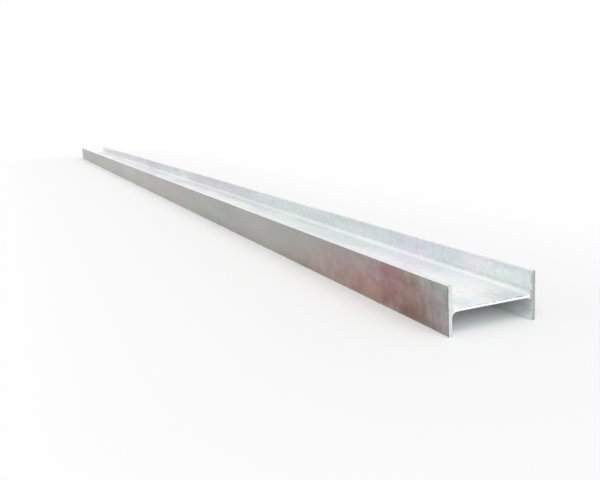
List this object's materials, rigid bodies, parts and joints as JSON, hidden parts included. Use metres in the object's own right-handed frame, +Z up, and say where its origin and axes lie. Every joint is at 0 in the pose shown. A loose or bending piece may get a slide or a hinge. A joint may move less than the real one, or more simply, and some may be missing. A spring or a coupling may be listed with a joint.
{
  "type": "steel i-beam",
  "caption": "Straight rolled steel I-beam with parallel flanges and a galvanised finish, cut square at both ends and lying on its flange toes.",
  "frame": {"origin": "on the floor, under the middle of the beam as it lies on its flange toes", "axes": "+X along the beam, +Y through the depth of the section from one flange to the other, +Z up"},
  "size_m": [6, 0.2, 0.1],
  "materials": {
    "galvanised_steel": "hot-dip galvanised, satin, with faint clouds and a brown-mauve stain on one flange"
  },
  "bodies": {
    "root": {"i_beam": "galvanised_steel"}
  },
  "joints": []
}
